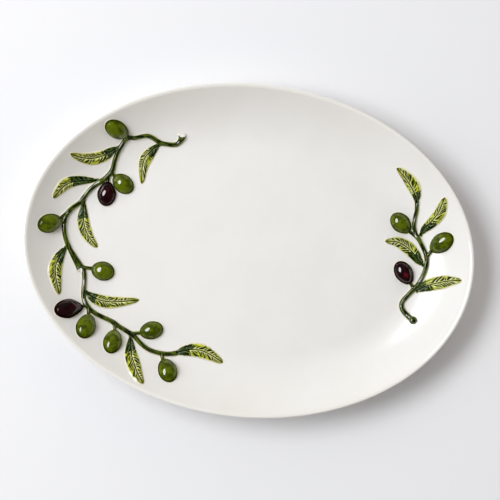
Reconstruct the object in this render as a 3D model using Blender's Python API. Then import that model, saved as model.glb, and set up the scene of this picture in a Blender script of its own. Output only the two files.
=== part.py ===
"""Oval serving platter of glazed stoneware, with two olive sprigs moulded on it in relief.

Lengths are in millimetres until a mesh is finished, and angles are in degrees.
The origin is under the middle of the foot, +X runs along the platter and +Y across it.
"""
import math
from collections import namedtuple

import bmesh
import bpy
from mathutils import Vector

MM = 0.001

# The platter
LENGTH = 400.0
WIDTH = 295.0
HEIGHT = 34.0
THICKNESS = 5.5
FLOOR_EDGE = 56.0
WALL_ANGLE = 45.0
LIP_ROLL = 4.4
EDGE_ROUND = 1.0

# The foot ring, as distances in from the outermost edge
FOOT_HEIGHT = 2.5
FOOT_OUTER = 52.0
FOOT_WIDTH = 7.0
FOOT_ROUND = 1.2

# How finely the round forms are faceted
OVAL_STEPS = 72
WALL_STEPS = 7
ROLL_STEPS = 3
ROUND_STEPS = 2
INSET_ROUNDS = 6
TUBE_STEP = 3.9
TUBE_RESOLUTION = 2
OLIVE_SIDES = 12
OLIVE_ARC_STEPS = 5
LEAF_STATIONS = 11
KNOB_SUBDIVISIONS = 2
SHARP_ANGLE = 35.0

# The bevel of glaze round the foot of each raised form
BEVEL_RISE = 0.8
BEVEL_WIDTH = 1.0

# The stems
TUBE_LIFT = 0.2
TUBE_SPREAD = 0.4
CUT_FLARE = 1.4
FLARE_LENGTH = 11.0
STUB_RADIUS = 1.7
STUB_FLARE = 0.4
STALK_RADIUS = 1.5
STALK_FLARE = 0.5
STALK_INSIDE = 1.2
KNOB_RADIUS = 3.7

# The olives
OLIVE_RISE = 7.6
OLIVE_SUNK = 2.0
OLIVE_FOOT_SUNK = 0.2
OLIVE_FOOT_SHARE = 1.14
OLIVE_TAPER_START = 0.12
OLIVE_DOME_TAPER = 0.7

# The leaves, with heights from the groove on the midrib over the crown to the edge. A blade is flat where
# its half width is small and reaches the full heights where it is wide.
LEAF_RISES = (1.0, 1.95, 0.8)
LEAF_FLAT_HALF = 1.6
LEAF_CROWNED_HALF = 3.8
LEAF_SUNK = 1.2
LEAF_STALK_PART = 0.09
LEAF_TIP_HALF = 0.5
LEAF_FULLNESS = 0.7
LOOK_ALONG = 0.02

Olive = namedtuple("Olive", "centre heading length width taper ripe branch")
Leaf = namedtuple("Leaf", "midrib base left right")
Sprig = namedtuple("Sprig", "name stem radii flare olives leaves stubs")

# A stem's points run from its cut end or knob to the leaf at its tip, with a radius for its start, middle
# and end, and flare is how much wider it is at a cut end.
# An olive's heading points from its centre to its stalk, taper is how far it narrows towards the stalk
# and branch is where the stalk leaves the stem.
# A leaf's midrib runs from the stem to the tip. Base is its half width at the stem, and left and right are
# its greatest half widths.
LARGE_SPRIG = Sprig(
    name="large",
    stem=(
        (-71.2, 96.4), (-71.4, 92.5), (-73.9, 88.3), (-77.6, 86.5), (-85.7, 86.4), (-90.3, 87.0),
        (-97.5, 90.6), (-101.5, 91.6), (-105.0, 91.2), (-112.7, 88.5), (-116.3, 88.4), (-119.2, 87.3),
        (-121.9, 84.3), (-126.0, 76.0), (-128.7, 66.8), (-130.0, 57.6), (-133.9, 51.3), (-140.3, 45.4),
        (-146.9, 39.0), (-152.3, 30.6), (-155.4, 25.4), (-162.0, 19.2), (-165.7, 13.2), (-167.1, 6.2),
        (-166.5, -1.3), (-164.2, -8.8), (-160.3, -16.3), (-154.9, -23.1), (-149.3, -29.7), (-144.9, -36.2),
        (-143.5, -44.4), (-143.1, -53.3), (-141.5, -61.2), (-137.1, -67.4), (-130.7, -71.7),
        (-123.1, -74.7), (-115.2, -77.4), (-107.3, -81.5), (-100.1, -84.9), (-93.3, -88.6),
        (-86.9, -94.0), (-79.2, -98.6), (-71.1, -100.6), (-62.9, -101.0), (-54.1, -99.3),
    ),
    radii=(2.1, 2.15, 2.1),
    flare=CUT_FLARE,
    olives=(
        Olive((-129, 93.5), -18, 21, 15.5, 0.14, False, (-119.3, 87.1)),
        Olive((-119, 46.5), 146, 21, 16, 0.10, False, (-130.5, 56.2)),
        Olive((-132.5, 36), 92, 22, 16.6, 0.30, True, (-132.8, 52.4)),
        Olive((-179.3, 3.7), 32, 20.4, 16.2, 0.12, False, (-164.6, 16.4)),
        Olive((-128, -33.5), 173, 20.6, 16.8, 0.10, False, (-146.9, -32.3)),
        Olive((-153.2, -70), 10, 24, 16.8, 0.42, True, (-139.5, -65.1)),
        Olive((-136.3, -84), 86, 21, 17, 0.16, False, (-136.9, -67.5)),
        Olive((-111.3, -95), 86, 20.5, 16.2, 0.14, False, (-112.5, -78.7)),
        Olive((-78.5, -81.5), 200, 21, 15.8, 0.10, False, (-96.3, -86.6)),
        Olive((-59.7, -115), 124, 21, 16.2, 0.12, False, (-67, -101.2)),
    ),
    leaves=(
        Leaf(((-125.7, 78.7), (-132.4, 74.6), (-139.4, 69.5), (-147.8, 66.1), (-157.2, 65.4),
              (-166.7, 67.1)), 1.7, 5.9, 4.5),
        Leaf(((-141.0, 47.1), (-150.9, 45.7), (-161.1, 43.7), (-168.5, 40.0), (-173.3, 34.5),
              (-178.2, 26.8)), 1.5, 4.3, 5.1),
        Leaf(((-90.3, 85.8), (-95.4, 80.8), (-99.7, 75.9), (-102.4, 70.9), (-103.5, 63.1),
              (-102.3, 49.0)), 2.0, 6.6, 4.2),
        Leaf(((-152.1, 28.4), (-151.6, 19.0), (-150.7, 10.9), (-147.9, 2.2), (-143.0, -5.4),
              (-135.7, -12.7)), 1.5, 5.0, 5.8),
        Leaf(((-162.5, -15.3), (-166.4, -21.7), (-169.3, -29.7), (-169.7, -38.3), (-167.3, -47.8),
              (-163.5, -58.0)), 1.7, 5.6, 5.2),
        Leaf(((-141.9, -53.0), (-135.8, -57.0), (-129.4, -59.3), (-120.8, -60.4), (-108.7, -58.9),
              (-93.2, -55.6)), 1.5, 5.0, 5.8),
        Leaf(((-96.8, -86.9), (-95.3, -96.5), (-93.4, -105.0), (-89.8, -112.5), (-85.6, -120.2),
              (-79.6, -128.0)), 1.5, 5.4, 6.2),
        Leaf(((-54.2, -99.3), (-48.2, -96.6), (-39.4, -94.2), (-30.8, -94.5), (-22.3, -97.5),
              (-11.9, -102.6)), 2.2, 5.6, 6.6),
    ),
    stubs=(((-149.0, -35.2), (-151.2, -31.7), (-153.6, -27.9), (-156.2, -23.7), (-159.3, -18.6)),),
)
SMALL_SPRIG = Sprig(
    name="small",
    stem=(
        (153.8, -45.3), (150.0, -42.9), (146.2, -39.8), (143.4, -36.7), (142.2, -33.2), (142.8, -29.2),
        (147.9, -22.2), (154.6, -13.0), (158.7, -2.8), (160.1, 5.8), (159.3, 13.0), (155.5, 20.2),
        (151.4, 26.5), (147.7, 31.6), (145.2, 38.3), (145.0, 46.1), (145.6, 53.1), (145.0, 59.6),
    ),
    radii=(2.4, 2.0, 1.8),
    flare=0.0,
    olives=(
        Olive((133.2, 40), -38, 21.6, 16.2, 0.20, False, (150, 28.3)),
        Olive((170.5, 26.5), 226, 22.4, 16.2, 0.16, False, (159.5, 12.6)),
        Olive((141, -4), -51, 22.5, 15.8, 0.20, True, (151.6, -17.7)),
    ),
    leaves=(
        Leaf(((145.1, 59.6), (143.3, 65.3), (140.2, 70.7), (136.7, 75.3), (130.9, 81.8),
              (123.6, 88.4)), 1.9, 3.6, 6.9),
        Leaf(((151.5, 30.8), (154.2, 37.4), (160.0, 45.1), (164.4, 52.6), (166.3, 59.8),
              (167.7, 66.5)), 1.5, 3.9, 6.0),
        Leaf(((158.2, 4.3), (153.3, 8.4), (146.8, 15.2), (139.7, 20.0), (131.7, 22.9),
              (121.3, 22.6)), 1.5, 5.6, 5.6),
        Leaf(((153.5, -19.1), (158.0, -15.8), (165.0, -12.1), (174.4, -8.6), (181.6, -6.4),
              (190.4, -4.7)), 1.7, 5.7, 5.6),
    ),
    stubs=(),
)

# The section of the wall and lip, worked out from those sizes
WALL_SINE = math.sin(math.radians(WALL_ANGLE))
WALL_COSINE = math.cos(math.radians(WALL_ANGLE))
WALL_TOP_INSET = EDGE_ROUND + LIP_ROLL * WALL_SINE
WALL_TOP_HEIGHT = HEIGHT - LIP_ROLL * (1 - WALL_COSINE)
UNDER_ROUND = (WALL_TOP_INSET - THICKNESS * WALL_SINE) / (1 - WALL_SINE)
UNDER_CENTRE = WALL_TOP_HEIGHT - (THICKNESS - UNDER_ROUND) * WALL_COSINE
FLOOR_HEIGHT = FOOT_HEIGHT + THICKNESS
WALL_RUN = FLOOR_EDGE - WALL_TOP_INSET
WALL_RISE = WALL_TOP_HEIGHT - FLOOR_HEIGHT
WALL_POWER = math.tan(math.radians(WALL_ANGLE)) * WALL_RUN / WALL_RISE


def clear_scene():
    for thing in list(bpy.data.objects):
        bpy.data.objects.remove(thing)


def glaze(name, colour, roughness):
    """A glossy fired glaze."""
    material = bpy.data.materials.new(name)
    material.use_nodes = True
    shader = material.node_tree.nodes["Principled BSDF"]
    shader.inputs["Base Color"].default_value = (*colour, 1.0)
    shader.inputs["Roughness"].default_value = roughness
    shader.inputs["Metallic"].default_value = 0.0
    shader.inputs["Coat Weight"].default_value = 0.5
    material.diffuse_color = (*colour, 1.0)
    return material


def new_object(name, mesh, material):
    thing = bpy.data.objects.new(name, mesh)
    mesh.materials.append(material)
    bpy.context.scene.collection.objects.link(thing)
    return thing


def finish_mesh(name, shape, material):
    """Turns a bmesh in millimetres into a closed object in metres."""
    bmesh.ops.recalc_face_normals(shape, faces=shape.faces)
    bmesh.ops.scale(shape, vec=(MM, MM, MM), verts=shape.verts)
    mesh = bpy.data.meshes.new(name)
    shape.to_mesh(mesh)
    shape.free()
    return new_object(name, mesh, material)


def wall_part(inset):
    return max(0.0, (FLOOR_EDGE - inset) / WALL_RUN)


def wall_height(inset):
    """Height of the upper surface, at a distance in from the outermost edge."""
    return FLOOR_HEIGHT + WALL_RISE * wall_part(inset) ** WALL_POWER


def wall_slope(inset):
    """How steeply the upper surface climbs outwards."""
    return WALL_POWER * WALL_RISE / WALL_RUN * wall_part(inset) ** (WALL_POWER - 1)


def inset_at(x, y):
    """How far in from the outermost edge a point on the wall lies, as the oval through it."""
    inset = FLOOR_EDGE
    for _ in range(INSET_ROUNDS):
        long_side, short_side = LENGTH / 2 - inset, WIDTH / 2 - inset
        excess = (x / long_side) ** 2 + (y / short_side) ** 2 - 1
        inset -= excess / 2 / (x**2 / long_side**3 + y**2 / short_side**3)
    return max(0.0, inset)


def surface(x, y):
    """The point of the upper surface over x and y, and its normal."""
    long_side, short_side = LENGTH / 2 - FLOOR_EDGE, WIDTH / 2 - FLOOR_EDGE
    if (x / long_side) ** 2 + (y / short_side) ** 2 < 1:
        return Vector((x, y, FLOOR_HEIGHT)), Vector((0, 0, 1))
    inset = inset_at(x, y)
    long_side, short_side = LENGTH / 2 - inset, WIDTH / 2 - inset
    outward = Vector((x / long_side**2, y / short_side**2))
    climb = outward / (x**2 / long_side**3 + y**2 / short_side**3) * wall_slope(inset)
    return Vector((x, y, wall_height(inset))), Vector((-climb.x, -climb.y, 1)).normalized()


def above(x, y, rise):
    point, normal = surface(x, y)
    return point + normal * rise


def arc(centre, radius, start, end, steps):
    """Points of an arc, as insets and heights. Turns go from outwards round to upwards."""
    turns = [math.radians(start + (end - start) * step / steps) for step in range(steps + 1)]
    return [(centre[0] + radius * math.cos(turn), centre[1] + radius * math.sin(turn)) for turn in turns]


def section():
    """The platter's section as insets and heights: inside the foot, round the lip and down to the floor."""
    foot_inner = FOOT_OUTER + FOOT_WIDTH
    points = [(foot_inner, FOOT_HEIGHT)]
    points += arc((foot_inner - FOOT_ROUND, FOOT_ROUND), FOOT_ROUND, 0, -90, ROUND_STEPS)
    points += arc((FOOT_OUTER + FOOT_ROUND, FOOT_ROUND), FOOT_ROUND, -90, -180, ROUND_STEPS)
    for step in range(WALL_STEPS):
        inset = FOOT_OUTER + (WALL_TOP_INSET - FOOT_OUTER) * step / WALL_STEPS
        slope = math.atan(wall_slope(inset))
        points.append((inset - THICKNESS * math.sin(slope), wall_height(inset) - THICKNESS * math.cos(slope)))
    points += arc((UNDER_ROUND, UNDER_CENTRE), UNDER_ROUND, 270 - WALL_ANGLE, 180, ROUND_STEPS)
    points += arc((EDGE_ROUND, HEIGHT - EDGE_ROUND), EDGE_ROUND, 180, 90, ROUND_STEPS)
    points += arc((EDGE_ROUND, HEIGHT - LIP_ROLL), LIP_ROLL, 90, 90 - WALL_ANGLE, ROLL_STEPS)[1:]
    for step in range(1, WALL_STEPS + 1):
        inset = WALL_TOP_INSET + (FLOOR_EDGE - WALL_TOP_INSET) * step / WALL_STEPS
        points.append((inset, wall_height(inset)))
    return points


def spin_profile(points, steps):
    """A form turned from its profile, given as distances from the axis and heights."""
    shape = bmesh.new()
    profile = [shape.verts.new((distance, 0, height)) for distance, height in points]
    edges = [shape.edges.new(pair) for pair in zip(profile, profile[1:])]
    bmesh.ops.spin(
        shape, geom=profile + edges, cent=(0, 0, 0), axis=(0, 0, 1),
        angle=math.tau, steps=steps, use_merge=True,
    )
    bmesh.ops.remove_doubles(shape, verts=shape.verts, dist=MM)
    return shape


def make_platter(material):
    """Spins the section, draws it in to an oval of even rim width, and closes its two floors."""
    shape = spin_profile([(LENGTH / 2 - inset, height) for inset, height in section()], OVAL_STEPS)
    for vertex in shape.verts:
        radius = math.hypot(vertex.co.x, vertex.co.y)
        vertex.co.y *= 1 - (LENGTH - WIDTH) / 2 / radius
    bmesh.ops.holes_fill(shape, edges=shape.edges, sides=0)
    return finish_mesh("platter", shape, material)


def along_curve(points, part):
    """The point at a part of the way, 0 to 1, along a smooth curve through the given points."""
    place = part * (len(points) - 1)
    first = min(int(place), len(points) - 2)
    t = place - first
    before, start, end, after = (
        Vector(points[min(max(index, 0), len(points) - 1)]) for index in range(first - 1, first + 3)
    )
    bend = (end - before) * t + (2 * before - 5 * start + 4 * end - after) * t**2
    return start + (bend + (3 * start - before - 3 * end + after) * t**3) / 2


def make_tube(name, points, radii, flare, material):
    """A stem laid on the upper surface, flared at its start, with its radius eased along it."""
    length = sum((Vector(end) - Vector(start)).length for start, end in zip(points, points[1:]))
    stations = max(2, round(length / TUBE_STEP))
    curve = bpy.data.curves.new(name, "CURVE")
    curve.dimensions = "3D"
    curve.bevel_depth = MM
    curve.bevel_resolution = TUBE_RESOLUTION
    curve.use_fill_caps = True
    spline = curve.splines.new("POLY")
    spline.points.add(stations)
    for index, point in enumerate(spline.points):
        part = index / stations
        place = along_curve(points, part)
        widened = flare * math.exp(-((part * length / FLARE_LENGTH) ** 2)) + TUBE_SPREAD
        point.radius = along_curve([(radius, 0) for radius in radii], part).x + widened
        point.co = (*(above(place.x, place.y, TUBE_LIFT) * MM), 1)
    guide = bpy.data.objects.new(name, curve)
    mesh = bpy.data.meshes.new_from_object(guide)
    bpy.data.objects.remove(guide)
    return new_object(name, mesh, material)


def make_stalk(name, olive, material):
    """The short stalk from the stem to just inside the olive's end."""
    turn = math.radians(olive.heading)
    reach = olive.length / 2 - STALK_INSIDE
    end = (olive.centre[0] + reach * math.cos(turn), olive.centre[1] + reach * math.sin(turn))
    return make_tube(name, (olive.branch, end), (STALK_RADIUS,) * 3, STALK_FLARE, material)


def make_knob(name, centre, material):
    """The round knob that ends the small sprig's stem."""
    shape = bmesh.new()
    bmesh.ops.create_icosphere(shape, subdivisions=KNOB_SUBDIVISIONS, radius=KNOB_RADIUS)
    bmesh.ops.translate(shape, vec=above(*centre, TUBE_LIFT), verts=shape.verts)
    return finish_mesh(name, shape, material)


def olive_profile():
    """The side of an olive as a share of its half width and a height, from its crown to its sunk base."""
    points = [(0.0, OLIVE_RISE)]
    for step in range(1, OLIVE_ARC_STEPS + 1):
        turn = math.radians(90 - 90 * step / OLIVE_ARC_STEPS)
        points.append((math.cos(turn), BEVEL_RISE + (OLIVE_RISE - BEVEL_RISE) * math.sin(turn)))
    return points + [(OLIVE_FOOT_SHARE, -OLIVE_FOOT_SUNK), (1.0, -OLIVE_SUNK), (0.0, -OLIVE_SUNK)]


def make_olive(name, olive, material):
    """Turns an olive about its crown, draws it out towards its stalk and lays it on the platter."""
    turn = math.radians(olive.heading)
    stalkward = Vector((math.cos(turn), math.sin(turn)))
    sideways = Vector((-stalkward.y, stalkward.x))
    shape = spin_profile(olive_profile(), OLIVE_SIDES)
    for vertex in shape.verts:
        x, y, z = vertex.co
        narrowing = 1 - olive.taper * max(0.0, x) ** 2 / (abs(x) + OLIVE_TAPER_START)
        place = Vector(olive.centre) + stalkward * (x * olive.length / 2)
        place += sideways * (y * narrowing * olive.width / 2)
        dome = max(0.0, z - BEVEL_RISE) * narrowing**OLIVE_DOME_TAPER
        vertex.co = above(place.x, place.y, min(z, BEVEL_RISE) + dome)
    return finish_mesh(name, shape, material)


def leaf_half(leaf, part, lane):
    """Half width of a leaf on one side, from its stalk through its belly to its tip."""
    widest = leaf.left if lane > 0 else leaf.right
    blade = min(1.0, max(0.0, (part - LEAF_STALK_PART) / (1 - LEAF_STALK_PART)))
    belly = max(0.0, math.sin(math.pi * blade)) ** LEAF_FULLNESS
    thin = leaf.base + (LEAF_TIP_HALF - leaf.base) * part
    return thin + (widest - thin) * belly


def make_leaf(name, leaf, material):
    """A leaf as a bent pad with a bevelled edge, both of its faces made from one grid."""
    shape = bmesh.new()
    crown_lanes = len(LEAF_RISES) - 1
    bmesh.ops.create_grid(shape, x_segments=LEAF_STATIONS, y_segments=2 * crown_lanes, size=1.0)
    raised = bmesh.ops.extrude_face_region(shape, geom=shape.faces[:])["geom"]
    top = {item for item in raised if isinstance(item, bmesh.types.BMVert)}
    for vertex in shape.verts:
        part = (vertex.co.x + 1) / 2
        lane = vertex.co.y
        half = leaf_half(leaf, part, lane)
        if vertex in top:
            wide = min(1.0, max(0.0, (half - LEAF_FLAT_HALF) / (LEAF_CROWNED_HALF - LEAF_FLAT_HALF)))
            rise = BEVEL_RISE + wide * (LEAF_RISES[round(abs(lane) * crown_lanes)] - BEVEL_RISE)
        else:
            rise = -LEAF_SUNK
            half += BEVEL_WIDTH * (BEVEL_RISE + LEAF_SUNK)
        place = along_curve(leaf.midrib, part)
        before = along_curve(leaf.midrib, max(0, part - LOOK_ALONG))
        after = along_curve(leaf.midrib, min(1, part + LOOK_ALONG))
        leftward = Vector((before.y - after.y, after.x - before.x)).normalized()
        place += leftward * (lane * half)
        vertex.co = above(place.x, place.y, rise)
    return finish_mesh(name, shape, material)


def make_sprig(sprig, stem_glaze, leaf_glaze, green_glaze, ripe_glaze):
    """All the relief of one sprig, as loose closed pieces."""
    pieces = [make_tube(f"{sprig.name}_stem", sprig.stem, sprig.radii, sprig.flare, stem_glaze)]
    for number, points in enumerate(sprig.stubs, 1):
        radii = (STUB_RADIUS,) * 3
        pieces.append(make_tube(f"{sprig.name}_stub_{number}", points, radii, STUB_FLARE, stem_glaze))
    for number, olive in enumerate(sprig.olives, 1):
        fruit_glaze = ripe_glaze if olive.ripe else green_glaze
        pieces.append(make_olive(f"{sprig.name}_olive_{number}", olive, fruit_glaze))
        pieces.append(make_stalk(f"{sprig.name}_stalk_{number}", olive, stem_glaze))
    for number, leaf in enumerate(sprig.leaves, 1):
        pieces.append(make_leaf(f"{sprig.name}_leaf_{number}", leaf, leaf_glaze))
    return pieces


def fuse(body, pieces):
    """Joins the relief to the platter as one solid, and removes the loose pieces."""
    relief = bpy.data.collections.new("relief")
    bpy.context.scene.collection.children.link(relief)
    for piece in pieces:
        relief.objects.link(piece)
    union = body.modifiers.new("relief", "BOOLEAN")
    union.operation = "UNION"
    union.operand_type = "COLLECTION"
    union.collection = relief
    union.solver = "EXACT"
    union.material_mode = "TRANSFER"
    graph = bpy.context.evaluated_depsgraph_get()
    fused = bpy.data.meshes.new_from_object(body.evaluated_get(graph))
    body.modifiers.clear()
    body.data = fused
    for piece in pieces:
        bpy.data.objects.remove(piece)
    bpy.data.collections.remove(relief)
    fused.shade_smooth()
    fused.set_sharp_from_angle(angle=math.radians(SHARP_ANGLE))


def main():
    clear_scene()
    cream = glaze("cream_glaze", (0.845, 0.830, 0.800), 0.14)
    stem_green = glaze("stem_green", (0.03, 0.08, 0.01), 0.15)
    leaf_green = glaze("leaf_green", (0.32, 0.36, 0.04), 0.18)
    olive_green = glaze("olive_green", (0.10, 0.15, 0.004), 0.10)
    olive_ripe = glaze("olive_ripe", (0.014, 0.003, 0.005), 0.10)
    platter = make_platter(cream)
    pieces = []
    for sprig in (LARGE_SPRIG, SMALL_SPRIG):
        pieces += make_sprig(sprig, stem_green, leaf_green, olive_green, olive_ripe)
    pieces.append(make_knob("small_knob", SMALL_SPRIG.stem[0], stem_green))
    fuse(platter, pieces)


main()
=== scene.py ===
"""Looks of the oval serving platter: a cream glazed dish with two moulded olive sprigs painted in greens.

Shapes are worked out in millimetres and turned into metres as each piece is finished.
Angles are in degrees. +X runs along the platter, +Y across it and +Z up out of its well.
"""
import math
from collections import namedtuple

import bmesh
import bpy
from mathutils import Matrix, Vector, kdtree, noise


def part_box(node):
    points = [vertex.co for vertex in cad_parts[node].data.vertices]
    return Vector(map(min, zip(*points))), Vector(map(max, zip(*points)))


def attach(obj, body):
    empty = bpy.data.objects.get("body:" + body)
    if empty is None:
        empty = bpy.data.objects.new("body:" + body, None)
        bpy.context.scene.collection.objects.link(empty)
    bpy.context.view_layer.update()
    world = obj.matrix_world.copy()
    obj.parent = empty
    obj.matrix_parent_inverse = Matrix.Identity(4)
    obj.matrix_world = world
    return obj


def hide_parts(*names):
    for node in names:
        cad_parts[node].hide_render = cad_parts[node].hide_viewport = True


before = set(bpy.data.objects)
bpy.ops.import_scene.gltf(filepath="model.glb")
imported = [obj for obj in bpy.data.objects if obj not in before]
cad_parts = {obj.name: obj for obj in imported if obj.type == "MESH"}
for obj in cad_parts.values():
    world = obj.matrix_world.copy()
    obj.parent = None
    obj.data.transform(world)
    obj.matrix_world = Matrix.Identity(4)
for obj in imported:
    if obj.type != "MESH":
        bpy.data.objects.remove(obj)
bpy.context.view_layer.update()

MM = 0.001
CENTIMETRE = 10.0
NODE = "platter"

# The platter, from the frame and the potter's sizes
LOW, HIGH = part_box(NODE)
LENGTH = (HIGH.x - LOW.x) / MM
WIDTH = (HIGH.y - LOW.y) / MM
HEIGHT = (HIGH.z - LOW.z) / MM
THICKNESS = 5.5
FLOOR_EDGE = 56.0
WALL_ANGLE = 45.0
LIP_ROLL = 4.4
EDGE_ROUND = 1.0
FOOT_HEIGHT = 2.5
FOOT_OUTER = 52.0
FOOT_WIDTH = 7.0
FOOT_ROUND = 1.2

# The section of the wall and lip, worked out from those sizes
WALL_SINE = math.sin(math.radians(WALL_ANGLE))
WALL_COSINE = math.cos(math.radians(WALL_ANGLE))
WALL_TOP_INSET = EDGE_ROUND + LIP_ROLL * WALL_SINE
WALL_TOP_HEIGHT = HEIGHT - LIP_ROLL * (1 - WALL_COSINE)
UNDER_ROUND = (WALL_TOP_INSET - THICKNESS * WALL_SINE) / (1 - WALL_SINE)
UNDER_CENTRE = WALL_TOP_HEIGHT - (THICKNESS - UNDER_ROUND) * WALL_COSINE
FLOOR_HEIGHT = FOOT_HEIGHT + THICKNESS
WALL_RUN = FLOOR_EDGE - WALL_TOP_INSET
WALL_RISE = WALL_TOP_HEIGHT - FLOOR_HEIGHT
WALL_POWER = math.tan(math.radians(WALL_ANGLE)) * WALL_RUN / WALL_RISE

# How finely the dish is turned
OVAL_STEPS = 288
WALL_STEPS = 30
ROLL_STEPS = 8
ROUND_STEPS = 5
FLOOR_RINGS = 12

# The cream bevel that each painted piece stands on
BEVEL_WIDTH = 1.0
BEVEL_RISE = 0.8

# The stems
STEM_STEP = 1.2
STEM_SIDES = 16
STEM_LIFT = 0.6
STEM_FLATNESS = 0.92
STEM_TIP_DROOP = 0.5
CUT_FLARE = 1.4
STUB_FLARE = 0.4
FLARE_LENGTH = 11.0
CUT_SLANT = 0.50
LEAN_STATIONS = 4
SKIRT_SUNK = 0.4
SKIRT_HEIGHT = 1.6
STUB_RADIUS = 1.7
STALK_RADIUS = 1.5
STALK_FLARE = 0.5
KNOT = 0.3
KNOB_RADIUS = 3.7
STEM_VOXEL = 0.36
STEM_SMOOTHING = 2
STEM_TIP_LENGTH = 6.0
STEM_GAP = 7.0
STEM_LOOK = 0.004
KNOT_REACH = 2.6
STALK_INSIDE = 1.2
RIB_DEPTH = 0.30
RIB_TWIST = 0.10
RIBS_ALONG = 0.10
RIBS_ACROSS = 0.95

# The olives
OLIVE_RISE = 7.6
OLIVE_SUNK = 1.4
OLIVE_SIDES = 72
OLIVE_ARC_STEPS = 26
OLIVE_TAPER_START = 0.12
OLIVE_DOME_TAPER = 0.7
OLIVE_UNEVENNESS = 0.02
OLIVE_FOOT = ((1.003, 0.72), (1.014, 0.60), (1.036, 0.36), (1.062, 0.10), (1.09, -0.10), (1.12, -0.4))
BLUSH_FROM_MIDDLE = 0.2
BLUSH_SPREAD = 0.2

# The leaves
LEAF_STATIONS = 150
LEAF_LANES = 56
LEAF_SUNK = 1.2
LEAF_STALK_PART = 0.09
LEAF_TIP_HALF = 0.5
LEAF_FULLNESS = 0.7
LEAF_FLAT_HALF = 1.6
LEAF_CROWNED_HALF = 3.8
LEAF_CROWN = 1.6
LEAF_PAD_POWER = 2.6
LEAF_EDGE_SUNK = 0.15
LEAF_LOOK = 0.02
MIDRIB_HALF = 1.25
MIDRIB_POWER = 1.3
VEIN_PITCH = 2.7
VEIN_SLANT = 0.9
VEIN_DEPTH = 0.5
VEIN_HALF = 0.85
VEIN_WAVER = 1.2
VEIN_LUCK = 1.5
# Half width of the dark line in the midrib groove: partly pooled glaze, partly painted shade
MIDRIB_SHADE_LINE = 0.5
# Where painted highlights lie on a leaf: a line along each wall of the midrib, and spots on the pads between
# veins
MIDRIB_WALL_HIGHLIGHT = (0.95, 0.4)
PAD_PAINTED_HIGHLIGHT = (1.9, 1.3)
PAD_PAINTED_HIGHLIGHT_HALF = 0.6
BEVEL_SHARE = 0.16
PAINT_REACH = 0.6
DEEP_BLEND = 0.16

# The glaze's unevenness: how many features lie in a metre, and their heights in metres
RIPPLE_SCALE = 55.0
RIPPLE_HEIGHT = 0.001
PEEL_SCALE = 420.0
PEEL_HEIGHT = 0.0002
MOTTLE_SCALE = 24.0
PAINT_EDGE_SCALE = 700.0
GRIT_SCALE = 1500.0

# The glazed part starts above this height in metres, along a line this uneven
GLAZE_LINE = 0.0005
GLAZE_LINE_WAVER = 0.0006
GLAZE_LINE_SCALE = 300.0
GLAZE_LINE_BLUR = 0.0001

# The height in millimetres at which a paint ends on its bevel, and how uneven that edge is
STEM_PAINT_EDGE = (0.95, 0.20)
LEAF_PAINT_EDGE = (0.72, 0.25)
OLIVE_PAINT_EDGE = (0.42, 0.10)
PAINT_EDGE_BLUR = 0.16

# Brush strokes and pools in a centimetre of stem or leaf, or in a metre of olive
STEM_STROKES = (9.0, 3.0)
LEAF_STROKES = (9.0, 3.5)
OLIVE_STROKES = (150.0, 230.0)
STROKE_STRETCH = (0.18, 1.0, 1.0)
STROKE_SHARE = 0.55
# How much lighter the rib crests and darker the grooves are painted: painted highlight and shade, partly
# thinned and pooled paint
RIB_SHADING_SHARE = 0.55
DEEP_EDGE_SCALE = 5.0
DEEP_EDGE_RAGGED = 1.5

# Colours, as a dark and a light one where a paint has both
CREAM = (0.853, 0.839, 0.808, 1.0)
CREAM_WARM = (0.810, 0.780, 0.725, 1.0)
# Darker, warmer cream for the foot of each raised piece: partly glaze pooled in the crease, partly painted
# shade there
CREAM_POOL_SHADE = (0.785, 0.725, 0.560, 1.0)
BARE_CLAY = ((0.50, 0.40, 0.30, 1.0), (0.66, 0.56, 0.45, 1.0))
STEM_GREEN = ((0.003, 0.009, 0.001, 1.0), (0.090, 0.128, 0.010, 1.0))
LIME = ((0.120, 0.150, 0.002, 1.0), (0.600, 0.640, 0.050, 1.0))
LIME_AT_TIP = ((0.070, 0.085, 0.002, 1.0), (0.330, 0.350, 0.020, 1.0))
# A painted highlight on the lime
LIME_PAINTED_HIGHLIGHT = (0.950, 0.960, 0.480, 1.0)
LIME_VEIN = (0.014, 0.020, 0.001, 1.0)
DEEP_GREEN = ((0.001, 0.007, 0.001, 1.0), (0.050, 0.105, 0.004, 1.0))
# A painted highlight on the deep green
DEEP_PAINTED_HIGHLIGHT = (0.420, 0.520, 0.220, 1.0)
DEEP_VEIN = (0.001, 0.004, 0.001, 1.0)
OLIVE_GREEN = ((0.010, 0.018, 0.001, 1.0), (0.100, 0.134, 0.004, 1.0))
OLIVE_RIPE = ((0.003, 0.001, 0.001, 1.0), (0.016, 0.003, 0.004, 1.0))
OLIVE_BLUSH = (0.14, 0.008, 0.016, 1.0)
FLOOR_WHITE = (0.812, 0.812, 0.826, 1.0)

# Plain colours that stand for a material where its paint isn't shown
STEM_PREVIEW = (0.03, 0.10, 0.02)
LEAF_PREVIEW = (0.28, 0.38, 0.04)
FLOOR_PREVIEW = (0.9, 0.9, 0.9)

# How glossy each glaze is
Gloss = namedtuple("Gloss", "roughness coat coat_roughness coat_ior specular")
GLAZE_IOR = 1.5
CREAM_GLOSS = Gloss(0.30, 1.0, 0.13, 1.6, 0.5)
STEM_GLOSS = Gloss(0.25, 1.0, 0.07, 1.75, 0.0)
LEAF_GLOSS = Gloss(0.30, 0.9, 0.08, 1.6, 0.0)
OLIVE_GLOSS = Gloss(0.22, 1.0, 0.06, 1.8, 0.0)

Olive = namedtuple("Olive", "centre heading length width taper ripe branch")
Leaf = namedtuple("Leaf", "midrib base left right deep_left deep_right")
Sprig = namedtuple("Sprig", "name stem radii knob blush olives leaves stubs")
Tube = namedtuple("Tube", "route half_width half_height cut")

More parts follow.
